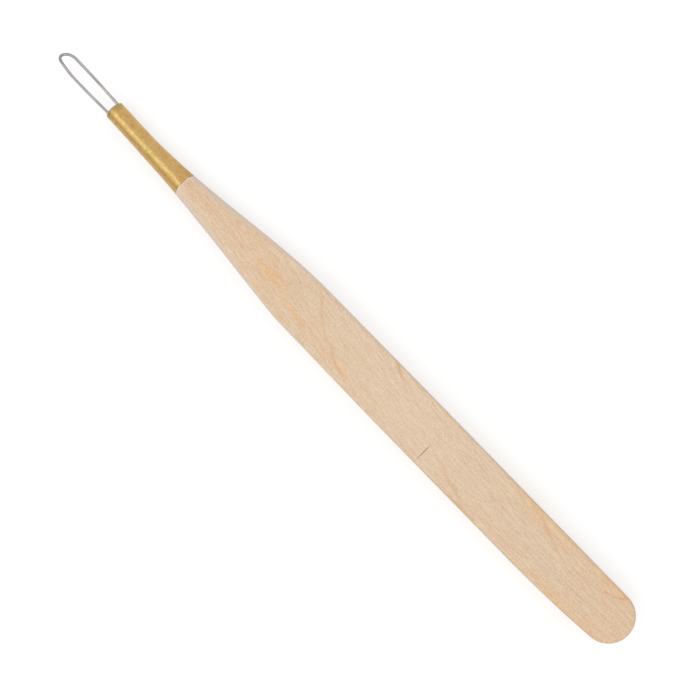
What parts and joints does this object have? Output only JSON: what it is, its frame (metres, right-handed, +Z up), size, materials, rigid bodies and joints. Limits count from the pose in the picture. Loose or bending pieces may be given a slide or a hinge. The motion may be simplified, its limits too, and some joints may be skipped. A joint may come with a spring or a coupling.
{
  "type": "pottery wire tool",
  "caption": "Flat wooden clay-carving handle with eased edges, a slim flared brass ferrule, and a long narrow steel wire loop set in its nose.",
  "frame": {"origin": "middle of the tool's footprint, on the flat surface that it lies on", "axes": "+X from the butt of the handle to the tip of the wire loop, +Z up out of the broad face of the handle, +Y towards the side of the butt that is sanded away"},
  "size_m": [0.1394, 0.0102, 0.0048],
  "materials": {
    "handle_wood": "pale hardwood, sanded smooth, open fine grain, no gloss",
    "ferrule_brass": "drawn brass, faintly tarnished, satin",
    "nose_resin": "hardened amber resin, smooth",
    "loop_steel": "drawn spring steel wire, dull bright"
  },
  "bodies": {
    "root": {"wood_handle": "handle_wood", "brass_ferrule": "ferrule_brass", "setting_resin": "nose_resin", "wire_loop": "loop_steel"}
  },
  "joints": []
}
